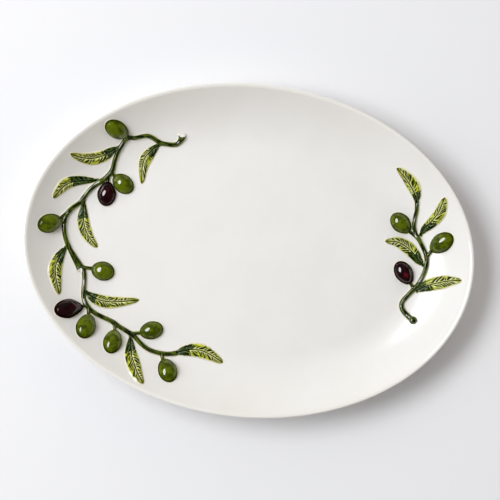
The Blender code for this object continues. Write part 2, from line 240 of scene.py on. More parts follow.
# A stem's points run from its cut end or knob to the leaf at its tip, with a radius for its start, middle
# and end. Blush is how red its ripe olives turn on one side.
# An olive's heading points from its centre to its stalk, taper is how far it narrows towards the stalk
# and branch is where the stalk leaves the stem.
# A leaf's midrib runs from the stem to the tip. Base is its half width at the stem, left and right are its
# greatest half widths, and deep_left and deep_right the parts of its length that are painted deep green.
LARGE_SPRIG = Sprig(
    name="large",
    stem=(
        (-71.2, 96.4), (-71.4, 92.5), (-73.9, 88.3), (-77.6, 86.5), (-85.7, 86.4), (-90.3, 87.0),
        (-97.5, 90.6), (-101.5, 91.6), (-105.0, 91.2), (-112.7, 88.5), (-116.3, 88.4), (-119.2, 87.3),
        (-121.9, 84.3), (-126.0, 76.0), (-128.7, 66.8), (-130.0, 57.6), (-133.9, 51.3), (-140.3, 45.4),
        (-146.9, 39.0), (-152.3, 30.6), (-155.4, 25.4), (-162.0, 19.2), (-165.7, 13.2), (-167.1, 6.2),
        (-166.5, -1.3), (-164.2, -8.8), (-160.3, -16.3), (-154.9, -23.1), (-149.3, -29.7), (-144.9, -36.2),
        (-143.5, -44.4), (-143.1, -53.3), (-141.5, -61.2), (-137.1, -67.4), (-130.7, -71.7),
        (-123.1, -74.7), (-115.2, -77.4), (-107.3, -81.5), (-100.1, -84.9), (-93.3, -88.6),
        (-86.9, -94.0), (-79.2, -98.6), (-71.1, -100.6), (-62.9, -101.0), (-54.1, -99.3),
    ),
    radii=(2.1, 2.15, 2.1),
    knob=False,
    blush=0.25,
    olives=(
        Olive((-129, 93.5), -18, 21, 15.5, 0.14, False, (-119.3, 87.1)),
        Olive((-119, 46.5), 146, 21, 16, 0.10, False, (-130.5, 56.2)),
        Olive((-132.5, 36), 92, 22, 16.6, 0.30, True, (-132.8, 52.4)),
        Olive((-179.3, 3.7), 32, 20.4, 16.2, 0.12, False, (-164.6, 16.4)),
        Olive((-128, -33.5), 173, 20.6, 16.8, 0.10, False, (-146.9, -32.3)),
        Olive((-153.2, -70), 10, 24, 16.8, 0.42, True, (-139.5, -65.1)),
        Olive((-136.3, -84), 86, 21, 17, 0.16, False, (-136.9, -67.5)),
        Olive((-111.3, -95), 86, 20.5, 16.2, 0.14, False, (-112.5, -78.7)),
        Olive((-78.5, -81.5), 200, 21, 15.8, 0.10, False, (-96.3, -86.6)),
        Olive((-59.7, -115), 124, 21, 16.2, 0.12, False, (-67, -101.2)),
    ),
    leaves=(
        Leaf(((-125.7, 78.7), (-132.4, 74.6), (-139.4, 69.5), (-147.8, 66.1), (-157.2, 65.4), (-166.7, 67.1)),
             1.7, 5.9, 4.5, 0.35, 0.37),
        Leaf(((-141.0, 47.1), (-150.9, 45.7), (-161.1, 43.7), (-168.5, 40.0), (-173.3, 34.5), (-178.2, 26.8)),
             1.5, 4.3, 5.1, 0.48, 0.50),
        Leaf(((-90.3, 85.8), (-95.4, 80.8), (-99.7, 75.9), (-102.4, 70.9), (-103.5, 63.1), (-102.3, 49.0)),
             2.0, 6.6, 4.2, 0.42, 0.30),
        Leaf(((-152.1, 28.4), (-151.6, 19.0), (-150.7, 10.9), (-147.9, 2.2), (-143.0, -5.4), (-135.7, -12.7)),
             1.5, 5.0, 5.8, 0.38, 0.42),
        Leaf(((-162.5, -15.3), (-166.4, -21.7), (-169.3, -29.7), (-169.7, -38.3), (-167.3, -47.8),
              (-163.5, -58.0)), 1.7, 5.6, 5.2, 0.42, 0.30),
        Leaf(((-141.9, -53.0), (-135.8, -57.0), (-129.4, -59.3), (-120.8, -60.4), (-108.7, -58.9),
              (-93.2, -55.6)), 1.5, 5.0, 5.8, 0.36, 0.37),
        Leaf(((-96.8, -86.9), (-95.3, -96.5), (-93.4, -105.0), (-89.8, -112.5), (-85.6, -120.2),
              (-79.6, -128.0)), 1.5, 5.4, 6.2, 0.36, 0.36),
        Leaf(((-54.2, -99.3), (-48.2, -96.6), (-39.4, -94.2), (-30.8, -94.5), (-22.3, -97.5),
              (-11.9, -102.6)), 2.2, 5.6, 6.6, 0.40, 0.33),
    ),
    stubs=(((-149.0, -35.2), (-151.2, -31.7), (-153.6, -27.9), (-156.2, -23.7), (-159.3, -18.6)),),
)
SMALL_SPRIG = Sprig(
    name="small",
    stem=(
        (153.8, -45.3), (150.0, -42.9), (146.2, -39.8), (143.4, -36.7), (142.2, -33.2), (142.8, -29.2),
        (147.9, -22.2), (154.6, -13.0), (158.7, -2.8), (160.1, 5.8), (159.3, 13.0), (155.5, 20.2),
        (151.4, 26.5), (147.7, 31.6), (145.2, 38.3), (145.0, 46.1), (145.6, 53.1), (145.0, 59.6),
    ),
    radii=(2.4, 2.0, 1.8),
    knob=True,
    blush=1.0,
    olives=(
        Olive((133.2, 40), -38, 21.6, 16.2, 0.20, False, (150, 28.3)),
        Olive((170.5, 26.5), 226, 22.4, 16.2, 0.16, False, (159.5, 12.6)),
        Olive((141, -4), -51, 22.5, 15.8, 0.20, True, (151.6, -17.7)),
    ),
    leaves=(
        Leaf(((145.1, 59.6), (143.3, 65.3), (140.2, 70.7), (136.7, 75.3), (130.9, 81.8), (123.6, 88.4)),
             1.9, 3.6, 6.9, 0.30, 0.30),
        Leaf(((151.5, 30.8), (154.2, 37.4), (160.0, 45.1), (164.4, 52.6), (166.3, 59.8), (167.7, 66.5)),
             1.5, 3.9, 6.0, 0.30, 0.42),
        Leaf(((158.2, 4.3), (153.3, 8.4), (146.8, 15.2), (139.7, 20.0), (131.7, 22.9), (121.3, 22.6)),
             1.5, 5.6, 5.6, 0.45, 0.36),
        Leaf(((153.5, -19.1), (158.0, -15.8), (165.0, -12.1), (174.4, -8.6), (181.6, -6.4), (190.4, -4.7)),
             1.7, 5.7, 5.6, 0.33, 0.42),
    ),
    stubs=(),
)


# The dish's surface, which the sprigs lie on

def wall_part(inset):
    return max(0.0, (FLOOR_EDGE - inset) / WALL_RUN)


def wall_height(inset):
    """Height of the upper surface, at a distance in from the outermost edge."""
    return FLOOR_HEIGHT + WALL_RISE * wall_part(inset) ** WALL_POWER


def wall_slope(inset):
    """How steeply the upper surface climbs outwards."""
    return WALL_POWER * WALL_RISE / WALL_RUN * wall_part(inset) ** (WALL_POWER - 1)


def inset_at(x, y):
    """How far in from the outermost edge a point on the wall lies, as the oval through it."""
    inset = FLOOR_EDGE
    for _ in range(6):
        long_side, short_side = LENGTH / 2 - inset, WIDTH / 2 - inset
        excess = (x / long_side) ** 2 + (y / short_side) ** 2 - 1
        inset -= excess / 2 / (x**2 / long_side**3 + y**2 / short_side**3)
    return max(0.0, inset)


def surface(x, y):
    """The point of the upper surface over x and y, and its normal."""
    long_side = LENGTH / 2 - FLOOR_EDGE
    short_side = WIDTH / 2 - FLOOR_EDGE
    if (x / long_side) ** 2 + (y / short_side) ** 2 < 1:
        return Vector((x, y, FLOOR_HEIGHT)), Vector((0, 0, 1))
    inset = inset_at(x, y)
    outward = Vector((x / (LENGTH / 2 - inset) ** 2, y / (WIDTH / 2 - inset) ** 2))
    steep = outward / (x**2 / (LENGTH / 2 - inset) ** 3 + y**2 / (WIDTH / 2 - inset) ** 3)
    climb = steep * wall_slope(inset)
    return Vector((x, y, wall_height(inset))), Vector((-climb.x, -climb.y, 1)).normalized()


def above(x, y, rise):
    point, normal = surface(x, y)
    return point + normal * rise


def rise_of(point):
    """How far a point stands above the dish's surface."""
    base, normal = surface(point.x, point.y)
    return (point - base).dot(normal)


def along_curve(points, part):
    """The point at a part of the way, 0 to 1, along a smooth curve through the given points."""
    place = part * (len(points) - 1)
    first = min(int(place), len(points) - 2)
    t = place - first
    before, start, end, after = (
        Vector(points[min(max(index, 0), len(points) - 1)]) for index in range(first - 1, first + 3)
    )
    bend = (end - before) * t + (2 * before - 5 * start + 4 * end - after) * t**2
    return start + (bend + (3 * start - before - 3 * end + after) * t**3) / 2


def ease(low, high, value):
    """0 below low, 1 above high and a smooth step between them."""
    t = min(1.0, max(0.0, (value - low) / (high - low)))
    return t * t * (3 - 2 * t)


# Finishing pieces

def lay_map(shape, places):
    """Lays out a piece for the brush strokes, in centimetres along and across it."""
    layer = shape.loops.layers.uv.new("along_across")
    for face in shape.faces:
        for loop in face.loops:
            loop[layer].uv = places[loop.vert]


def finish_piece(name, shape, material):
    """Turns a bmesh in millimetres into a smooth piece of the dish, in metres."""
    bmesh.ops.remove_doubles(shape, verts=shape.verts, dist=0.0005)
    bmesh.ops.recalc_face_normals(shape, faces=shape.faces)
    bmesh.ops.scale(shape, vec=(MM, MM, MM), verts=shape.verts)
    mesh = bpy.data.meshes.new(name)
    shape.to_mesh(mesh)
    shape.free()
    mesh.shade_smooth()
    piece = bpy.data.objects.new(name, mesh)
    bpy.context.scene.collection.objects.link(piece)
    mesh.materials.append(material)
    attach(piece, "root")
    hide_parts(NODE)


# Shader parts

def add_node(tree, kind, inputs=None, **settings):
    """A node with its settings, and its inputs linked to sockets or set to values."""
    made = tree.nodes.new(kind)
    for key, value in settings.items():
        setattr(made, key, value)
    for key, value in (inputs or {}).items():
        if isinstance(value, bpy.types.NodeSocket):
            tree.links.new(value, made.inputs[key])
        else:
            made.inputs[key].default_value = value
    return made


def mix_colour(tree, factor, first, second):
    mixer = add_node(tree, "ShaderNodeMix", {0: factor, 6: first, 7: second}, data_type="RGBA")
    return mixer.outputs[2]


def ramp(tree, value, low, high, to_low=0.0, to_high=1.0):
    """Eases a value from one range to another."""
    made = add_node(
        tree, "ShaderNodeMapRange", {0: value, 1: low, 2: high, 3: to_low, 4: to_high},
        interpolation_type="SMOOTHSTEP",
    )
    return made.outputs[0]


def maths(tree, operation, first, second=0.0):
    return add_node(tree, "ShaderNodeMath", {0: first, 1: second}, operation=operation).outputs[0]


def scale_add(tree, value, factor, added):
    """A value times a factor, plus what is added."""
    inputs = {0: value, 1: factor, 2: added}
    return add_node(tree, "ShaderNodeMath", inputs, operation="MULTIPLY_ADD").outputs[0]


def cloud(tree, place, scale, detail=2.0, roughness=0.5):
    inputs = {"Vector": place, "Scale": scale, "Detail": detail, "Roughness": roughness}
    return add_node(tree, "ShaderNodeTexNoise", inputs).outputs[0]


def attribute(tree, name):
    return add_node(tree, "ShaderNodeAttribute", attribute_name=name).outputs["Fac"]


def object_place(tree):
    return add_node(tree, "ShaderNodeTexCoord").outputs["Object"]


def start_group(name, inputs, outputs):
    """An empty node group with named sockets, and its way in and out."""
    group = bpy.data.node_groups.new(name, "ShaderNodeTree")
    for label, kind in inputs:
        group.interface.new_socket(label, in_out="INPUT", socket_type=kind)
    for label, kind in outputs:
        group.interface.new_socket(label, in_out="OUTPUT", socket_type=kind)
    return group, group.nodes.new("NodeGroupInput").outputs, group.nodes.new("NodeGroupOutput").inputs


def use_group(tree, group, inputs):
    made = tree.nodes.new("ShaderNodeGroup")
    made.node_tree = group
    for key, value in inputs.items():
        if isinstance(value, bpy.types.NodeSocket):
            tree.links.new(value, made.inputs[key])
        else:
            made.inputs[key].default_value = value
    return made.outputs


def make_glaze_skin():
    """The soft unevenness of poured glaze: broad ripples and a fine peel, as a normal and a mottle."""
    group, given, out = start_group(
        "glaze_skin",
        [("Ripple", "NodeSocketFloat"), ("Peel", "NodeSocketFloat")],
        [("Normal", "NodeSocketVector"), ("Mottle", "NodeSocketFloat")],
    )
    place = object_place(group)
    broad = cloud(group, place, RIPPLE_SCALE, 1.0)
    fine = cloud(group, place, PEEL_SCALE, 2.0)
    ripple = add_node(
        group, "ShaderNodeBump", {"Strength": given["Ripple"], "Distance": RIPPLE_HEIGHT, "Height": broad},
    )
    peel = add_node(
        group, "ShaderNodeBump",
        {"Strength": given["Peel"], "Distance": PEEL_HEIGHT, "Height": fine, "Normal": ripple.outputs[0]},
    )
    group.links.new(peel.outputs[0], out["Normal"])
    group.links.new(cloud(group, place, MOTTLE_SCALE, 3.0, 0.6), out["Mottle"])
    return group


def make_paint_cover():
    """How far the paint covers a raised piece: none on its foot, full above a height, with an uneven edge."""
    group, given, out = start_group(
        "paint_cover",
        [("Rise", "NodeSocketFloat"), ("Edge", "NodeSocketFloat"), ("Waver", "NodeSocketFloat")],
        [("Cover", "NodeSocketFloat")],
    )
    wobble = maths(group, "SUBTRACT", cloud(group, object_place(group), PAINT_EDGE_SCALE, 2.0), 0.5)
    shifted = scale_add(group, wobble, given["Waver"], given["Rise"])
    height = maths(group, "SUBTRACT", shifted, given["Edge"])
    group.links.new(ramp(group, height, -PAINT_EDGE_BLUR, PAINT_EDGE_BLUR), out["Cover"])
    return group


def make_brushwork():
    """Streaks and pools in hand-laid paint, along the length of what is painted."""
    group, given, out = start_group(
        "brushwork",
        [("Place", "NodeSocketVector"), ("Streak", "NodeSocketFloat"), ("Pool", "NodeSocketFloat")],
        [("Tone", "NodeSocketFloat")],
    )
    mapping = {"Vector": given["Place"], "Scale": STROKE_STRETCH}
    stretched = add_node(group, "ShaderNodeMapping", mapping).outputs[0]
    streaks = ramp(group, cloud(group, stretched, given["Streak"], 3.0, 0.6), 0.32, 0.68)
    pools = ramp(group, cloud(group, given["Place"], given["Pool"], 2.0), 0.35, 0.65)
    pools = maths(group, "MULTIPLY", pools, 1 - STROKE_SHARE)
    group.links.new(scale_add(group, streaks, STROKE_SHARE, pools), out["Tone"])
    return group


def start_material(name, preview):
    material = bpy.data.materials.new(name)
    material.use_nodes = True
    material.diffuse_color = (*preview, 1.0)
    return material, material.node_tree, material.node_tree.nodes["Principled BSDF"]


GLAZE_SKIN = make_glaze_skin()
PAINT_COVER = make_paint_cover()
BRUSHWORK = make_brushwork()


def set_gloss(shader, gloss):
    shader.inputs["Roughness"].default_value = gloss.roughness
    shader.inputs["Coat Weight"].default_value = gloss.coat
    shader.inputs["Coat Roughness"].default_value = gloss.coat_roughness
    shader.inputs["Coat IOR"].default_value = gloss.coat_ior
    shader.inputs["IOR"].default_value = GLAZE_IOR
    shader.inputs["Specular IOR Level"].default_value = gloss.specular


def brush_tone(tree, place, strokes):
    """How light the paint lies at a place, given its streaks and pools."""
    streak, pool = strokes
    return use_group(tree, BRUSHWORK, {"Place": place, "Streak": streak, "Pool": pool})["Tone"]


def make_cream_glaze():
    """Glossy cream glaze, a little warmer where it thins on the lip, and bare fired clay under the foot."""
    material, tree, shader = start_material("cream_glaze", CREAM[:3])
    skin = use_group(tree, GLAZE_SKIN, {"Ripple": 0.10, "Peel": 0.05})
    place = object_place(tree)
    height = add_node(tree, "ShaderNodeSeparateXYZ", {0: place}).outputs["Z"]
    thin = ramp(tree, height, (HEIGHT - 2.2) * MM, (HEIGHT - 0.2) * MM, 0.0, 0.5)
    colour = mix_colour(tree, ramp(tree, skin["Mottle"], 0.35, 0.7, 0.0, 0.35), CREAM, CREAM_WARM)
    colour = mix_colour(tree, thin, colour, CREAM_WARM)
    line = scale_add(tree, cloud(tree, place, GLAZE_LINE_SCALE, 2.0), GLAZE_LINE_WAVER, GLAZE_LINE)
    glazed = ramp(tree, maths(tree, "SUBTRACT", height, line), -GLAZE_LINE_BLUR, GLAZE_LINE_BLUR)
    clay = mix_colour(tree, cloud(tree, place, GRIT_SCALE, 3.0, 0.7), *BARE_CLAY)
    tree.links.new(mix_colour(tree, glazed, clay, colour), shader.inputs["Base Color"])
    set_gloss(shader, CREAM_GLOSS)
    tree.links.new(glazed, shader.inputs["Coat Weight"])
    tree.links.new(ramp(tree, glazed, 0.0, 1.0, 0.75, 0.28), shader.inputs["Roughness"])
    tree.links.new(skin["Normal"], shader.inputs["Normal"])
    return material


def finish_paint(tree, shader, paint, paint_edge, gloss):
    """Lays a paint over the foot of a raised piece, under one clear gloss. The unpainted foot takes a darker,
    warmer cream: partly glaze pooled there, partly painted shade in the crease round the piece.
    """
    edge, waver = paint_edge
    cover = use_group(tree, PAINT_COVER, {"Rise": attribute(tree, "rise"), "Edge": edge, "Waver": waver})
    skin = use_group(tree, GLAZE_SKIN, {"Ripple": 0.12, "Peel": 0.10})
    set_gloss(shader, gloss)
    # Where the paint stops, the foot shows the darker cream of pooled glaze and painted shade
    tree.links.new(mix_colour(tree, cover["Cover"], CREAM_POOL_SHADE, paint), shader.inputs["Base Color"])
    tree.links.new(ramp(tree, skin["Mottle"], 0.3, 0.7, 0.20, 0.34), shader.inputs["Roughness"])
    tree.links.new(skin["Normal"], shader.inputs["Normal"])


def make_stem_paint():
    """Deep green, lighter on the rib crests and darker in the grooves, as painted highlight and shade and
    partly as thinned and pooled paint, with bare cream on the cut ends.
    """
    material, tree, shader = start_material("stem_paint", STEM_PREVIEW)
    place = add_node(tree, "ShaderNodeUVMap", uv_map="along_across").outputs[0]
    # Lighter on the rib crests and darker in the grooves: painted highlight and shade, partly thinned and
    # pooled paint
    rib_shade = maths(tree, "MULTIPLY", attribute(tree, "rib"), RIB_SHADING_SHARE)
    tone = scale_add(tree, brush_tone(tree, place, STEM_STROKES), STROKE_SHARE, rib_shade)
    paint = mix_colour(tree, ramp(tree, tone, 0.25, 0.95), *STEM_GREEN)
    paint = mix_colour(tree, attribute(tree, "bare"), paint, CREAM)
    finish_paint(tree, shader, paint, STEM_PAINT_EDGE, STEM_GLOSS)
    return material


def make_leaf_paint():
    """Lime that deepens to olive at the tip, with dark veins, painted highlights on its pads, the midrib's
    walls and its edges, and deep green brushed on from the stalk.
    """
    material, tree, shader = start_material("leaf_paint", LEAF_PREVIEW)
    place = add_node(tree, "ShaderNodeUVMap", uv_map="along_across").outputs[0]
    tone = brush_tone(tree, place, LEAF_STROKES)
    # Dark vein strokes, and the dark line in the midrib groove, which is partly pooled glaze and partly
    # painted shade
    stroke = ramp(tree, attribute(tree, "vein"), 0.12, 0.80)
    # How much painted highlight lies here
    painted_highlight = attribute(tree, "painted_highlight")

    blade = ramp(tree, tone, 0.2, 0.8)
    at_tip = ramp(tree, attribute(tree, "tip"), 0.50, 1.0)
    lime = mix_colour(tree, at_tip, mix_colour(tree, blade, *LIME), mix_colour(tree, blade, *LIME_AT_TIP))
    lime = mix_colour(tree, painted_highlight, lime, LIME_PAINTED_HIGHLIGHT)
    lime = mix_colour(tree, stroke, lime, LIME_VEIN)

    deep = mix_colour(tree, ramp(tree, tone, 0.3, 0.8), *DEEP_GREEN)
    deep = mix_colour(tree, maths(tree, "MULTIPLY", painted_highlight, 0.3), deep, DEEP_PAINTED_HIGHLIGHT)
    deep = mix_colour(tree, stroke, deep, DEEP_VEIN)

    ragged = maths(tree, "SUBTRACT", cloud(tree, place, DEEP_EDGE_SCALE, 2.0, 0.6), 0.5)
    reach = scale_add(tree, ragged, DEEP_EDGE_RAGGED, attribute(tree, "deep"))
    paint = mix_colour(tree, ramp(tree, reach, 0.42, 0.58), lime, deep)
    finish_paint(tree, shader, paint, LEAF_PAINT_EDGE, LEAF_GLOSS)
    tree.links.new(ramp(tree, stroke, 0.1, 0.9, 0.9, 0.1), shader.inputs["Coat Weight"])
    return material


def make_olive_paint(name, colours):
    """Olive paint, a little cloudy and darker low on its sides, partly paint pooled at the base and partly
    painted shade, with a blush where the olive ripens.
    """
    dark, light = colours
    material, tree, shader = start_material(name, light[:3])
    rise = attribute(tree, "rise")
    tone = ramp(tree, brush_tone(tree, object_place(tree), OLIVE_STROKES), 0.2, 0.75, 0.35, 1.0)
    # Darker low on the olive's sides: partly paint pooled at the base, partly painted shade
    body = ramp(tree, rise, 0.6, 3.6)
    paint = mix_colour(tree, maths(tree, "MULTIPLY", tone, body), dark, light)
    paint = mix_colour(tree, attribute(tree, "blush"), paint, OLIVE_BLUSH)
    finish_paint(tree, shader, paint, OLIVE_PAINT_EDGE, OLIVE_GLOSS)
    tree.links.new(ramp(tree, rise, 2.9, 5.3), shader.inputs["Coat Weight"])
    return material


# The dish

def arc(centre, radius, start, end, steps):
    """Points of an arc, as insets and heights. Turns go from outwards round to upwards."""
    turns = [math.radians(start + (end - start) * step / steps) for step in range(steps + 1)]
    return [(centre[0] + radius * math.cos(turn), centre[1] + radius * math.sin(turn)) for turn in turns]


def section():
    """The dish's section as insets and heights, from under its middle, round foot and lip, to its floor."""
    floor_start = FOOT_OUTER + FOOT_WIDTH
    middle = LENGTH / 2
    step_in = (floor_start - middle) / FLOOR_RINGS
    points = [(middle + step_in * ring, FOOT_HEIGHT) for ring in range(FLOOR_RINGS + 1)]
    points += arc((floor_start - FOOT_ROUND, FOOT_ROUND), FOOT_ROUND, 0, -90, ROUND_STEPS)
    points += arc((FOOT_OUTER + FOOT_ROUND, FOOT_ROUND), FOOT_ROUND, -90, -180, ROUND_STEPS)
    for step in range(WALL_STEPS):
        inset = FOOT_OUTER + (WALL_TOP_INSET - FOOT_OUTER) * step / WALL_STEPS
        slope = math.atan(wall_slope(inset))
        points.append((inset - THICKNESS * math.sin(slope), wall_height(inset) - THICKNESS * math.cos(slope)))
    points += arc((UNDER_ROUND, UNDER_CENTRE), UNDER_ROUND, 270 - WALL_ANGLE, 180, ROUND_STEPS)
    points += arc((EDGE_ROUND, HEIGHT - EDGE_ROUND), EDGE_ROUND, 180, 90, ROUND_STEPS)
    points += arc((EDGE_ROUND, HEIGHT - LIP_ROLL), LIP_ROLL, 90, 90 - WALL_ANGLE, ROLL_STEPS)[1:]
    for step in range(1, WALL_STEPS + 1):
        inset = WALL_TOP_INSET + (FLOOR_EDGE - WALL_TOP_INSET) * step / WALL_STEPS
        points.append((inset, wall_height(inset)))
    for ring in range(1, FLOOR_RINGS + 1):
        points.append((FLOOR_EDGE + (middle - FLOOR_EDGE) * ring / FLOOR_RINGS, FLOOR_HEIGHT))
    return points


def make_dish(material):
    """Spins the section round, then draws it in to an oval whose wall is as wide all the way round."""
    shape = bmesh.new()
    profile = [shape.verts.new((LENGTH / 2 - inset, 0, height)) for inset, height in section()]
    edges = [shape.edges.new(pair) for pair in zip(profile, profile[1:])]
    bmesh.ops.spin(
        shape, geom=profile + edges, cent=(0, 0, 0), axis=(0, 0, 1),
        angle=math.tau, steps=OVAL_STEPS, use_merge=True,
    )
    floor_radius = LENGTH / 2 - FOOT_OUTER - FOOT_WIDTH
    for vertex in shape.verts:
        radius = max(floor_radius, math.hypot(vertex.co.x, vertex.co.y))
        vertex.co.y *= 1 - (LENGTH - WIDTH) / 2 / radius
    finish_piece("dish", shape, material)


# The stems

def length_of(route):
    return sum((Vector(end) - Vector(start)).length for start, end in zip(route, route[1:]))


def stations_of(route):
    """Evenly spread parts of the way along a route, about a step apart."""
    count = max(3, round(length_of(route) / STEM_STEP))
    return [index / count for index in range(count + 1)]


def frame_at(route, part):
    """The surface point under a route, with its forward, sideways and upward directions."""
    place = along_curve(route, part)
    ahead = along_curve(route, min(1, part + STEM_LOOK)) - along_curve(route, max(0, part - STEM_LOOK))
    point, up = surface(place.x, place.y)
    forward = Vector((ahead.x, ahead.y, 0))
    forward = (forward - up * forward.dot(up)).normalized()
    return point, forward, up.cross(forward), up


def add_tube(shape, tube, lift, slant, overhang):
    """Extrudes a ring along a route on the dish and closes its ends. Its start may lean back or stand out."""
    ring = bmesh.ops.create_circle(shape, segments=STEM_SIDES, radius=1.0)["verts"]
    turns = [(vertex.co.x, vertex.co.y) for vertex in ring]
    edges = [edge for edge in shape.edges if edge.verts[0] in ring and edge.verts[1] in ring]
    shape.faces.new(ring)
    for index, part in enumerate(stations_of(tube.route)):
        if index:
            grown = bmesh.ops.extrude_edge_only(shape, edges=edges)["geom"]
            fresh = {item for item in grown if isinstance(item, bmesh.types.BMVert)}
            links = [[edge.other_vert(old) for edge in old.link_edges] for old in ring]
            ring = [next(vertex for vertex in linked if vertex in fresh) for linked in links]
            edges = [
                item for item in grown
                if isinstance(item, bmesh.types.BMEdge) and item.verts[0] in fresh and item.verts[1] in fresh
            ]
        point, forward, sideways, up = frame_at(tube.route, part)
        width, height = tube.half_width(part), tube.half_height(part)
        lean = slant * height * max(0.0, 1 - index / LEAN_STATIONS)
        shift = overhang if index == 0 else 0.0
        for vertex, (across, high) in zip(ring, turns):
            flat = sideways * (across * width) + forward * (lean * high - shift)
            vertex.co = point + flat + up * (lift + high * height)
    shape.faces.new(ring)


def add_stem(shape, tube):
    """A round stem on its cream bevel."""
    def skirt_half(part):
        return tube.half_width(part) + BEVEL_WIDTH

    def skirt_height(part):
        return SKIRT_HEIGHT

    add_tube(shape, tube, STEM_LIFT, CUT_SLANT if tube.cut else 0.0, 0.0)
    skirt = Tube(tube.route, skirt_half, skirt_height, tube.cut)
    add_tube(shape, skirt, -SKIRT_SUNK, 0.0, BEVEL_WIDTH if tube.cut else 0.0)


def stem_tube(sprig):
    """The stem, a little fuller where something branches off and at its cut end, and lower at its tip."""
    knots = [olive.branch for olive in sprig.olives] + [leaf.midrib[0] for leaf in sprig.leaves]
    length = length_of(sprig.stem)
    flare = 0.0 if sprig.knob else CUT_FLARE

    def half_width(part):
        place = along_curve(sprig.stem, part)
        plain = along_curve([(value, 0) for value in sprig.radii], part).x
        knot = max(math.exp(-(((place - Vector(spot)).length / KNOT_REACH) ** 2)) for spot in knots)
        return plain + KNOT * knot + flare * math.exp(-((part * length / FLARE_LENGTH) ** 2))

    def half_height(part):
        droop = STEM_TIP_DROOP * ease(length - STEM_TIP_LENGTH, length, part * length)
        return half_width(part) * STEM_FLATNESS * (1 - droop)

    return Tube(sprig.stem, half_width, half_height, not sprig.knob)


def stub_tube(route):
    """A pruned side shoot, widest at its cut end."""
    def radius(part):
        return STUB_RADIUS + STUB_FLARE * math.exp(-((part * 5) ** 2))

    return Tube(route, radius, radius, True)


def stalk_tube(olive):
    """From the stem to just inside the olive's end, wider where it meets them."""
    turn = math.radians(olive.heading)
    reach = olive.length / 2 - STALK_INSIDE
    end = (olive.centre[0] + reach * math.cos(turn), olive.centre[1] + reach * math.sin(turn))

    def radius(part):
        return STALK_RADIUS + STALK_FLARE * (1 - ease(0, 0.4, part) + 0.6 * ease(0.7, 1, part))

    return Tube((olive.branch, end), radius, radius, False)


def remesh_stems(shape):
    """Melts the crossing tubes of a sprig into one skin with soft joints."""
    bmesh.ops.recalc_face_normals(shape, faces=shape.faces)
    mesh = bpy.data.meshes.new("stems")
    shape.to_mesh(mesh)
    guide = bpy.data.objects.new("stems", mesh)
    bpy.context.scene.collection.objects.link(guide)
    melt = guide.modifiers.new("melt", "REMESH")
    melt.mode = "VOXEL"
    melt.voxel_size = STEM_VOXEL
    graph = bpy.context.evaluated_depsgraph_get()
    melted = bpy.data.meshes.new_from_object(guide.evaluated_get(graph))
    shape.clear()
    shape.from_mesh(melted)
    bpy.data.objects.remove(guide)
    bpy.data.meshes.remove(melted)
    for _ in range(STEM_SMOOTHING):
        bmesh.ops.smooth_vert(
            shape, verts=shape.verts, factor=0.5, use_axis_x=True, use_axis_y=True, use_axis_z=True,
        )
    shape.normal_update()


def mark_cut_ends(shape, tubes):
    """Marks the faces of the cut ends, which stay unpainted."""
    bare = shape.verts.layers.float.new("bare")
    for tube in tubes:
        if tube.cut:
            point, forward, _, up = frame_at(tube.route, 0.0)
            face = (up * CUT_SLANT - forward).normalized()
            reach = tube.half_width(0.0) + BEVEL_WIDTH
            for vertex in shape.verts:
                off = vertex.co - point - up * STEM_LIFT
                if off.length < reach:
                    vertex[bare] = ease(-0.25, 0.0, off.dot(face))


def rib_stems(shape, tubes):
    """Ribs the stems and keeps, for the brush strokes, the rise, the ribs for painted highlight and shade,
    and a map of along and across.
    """
    spots = []
    start = 0.0
    for tube in tubes:
        length = length_of(tube.route)
        for part in stations_of(tube.route):
            point, forward, sideways, _ = frame_at(tube.route, part)
            spots.append((point, forward, sideways, start + part * length))
        start += length + STEM_GAP
    tree = kdtree.KDTree(len(spots))
    for index, spot in enumerate(spots):
        tree.insert(spot[0], index)
    tree.balance()
    rise = shape.verts.layers.float.new("rise")
    rib_shade_layer = shape.verts.layers.float.new("rib")
    places = {}
    for vertex in shape.verts:
        point, forward, sideways, run = spots[tree.find(vertex.co)[1]]
        off = vertex.co - point
        along = run + off.dot(forward)
        across = off.dot(sideways) + along * RIB_TWIST
        height = rise_of(vertex.co)
        rib = noise.noise(Vector((along * RIBS_ALONG, across * RIBS_ACROSS, 0.0)))
        vertex[rise] = height
        # The rib value, kept for a painted highlight on the crests and painted shade in the grooves
        vertex[rib_shade_layer] = ease(-0.25, 0.35, rib)
        vertex.co += vertex.normal * (RIB_DEPTH * rib * ease(0.9, 1.5, height))
        places[vertex] = (along / CENTIMETRE, across / CENTIMETRE)
    lay_map(shape, places)


def make_stems(sprig, material):
    shape = bmesh.new()
    tubes = [stem_tube(sprig)]
    tubes += [stub_tube(stub) for stub in sprig.stubs]
    tubes += [stalk_tube(olive) for olive in sprig.olives]
    for tube in tubes:
        add_stem(shape, tube)
    if sprig.knob:
        knob = bmesh.ops.create_icosphere(shape, subdivisions=4, radius=KNOB_RADIUS)["verts"]
        bmesh.ops.translate(shape, vec=above(*sprig.stem[0], STEM_LIFT), verts=knob)
    remesh_stems(shape)
    mark_cut_ends(shape, tubes)
    rib_stems(shape, tubes)
    finish_piece(f"{sprig.name}_stems", shape, material)


# The olives

def olive_profile():
    """The side of an olive as shares of its half width and heights, from its crown to its sunk base."""
    points = [(0.0, OLIVE_RISE)]
    dome = OLIVE_RISE - BEVEL_RISE
    for step in range(1, OLIVE_ARC_STEPS + 1):
        turn = math.radians(90 - 90 * step / OLIVE_ARC_STEPS)
        points.append((math.cos(turn), BEVEL_RISE + dome * math.sin(turn)))
    return points + [*OLIVE_FOOT, (1.0, -OLIVE_SUNK), (0.5, -OLIVE_SUNK), (0.0, -OLIVE_SUNK)]


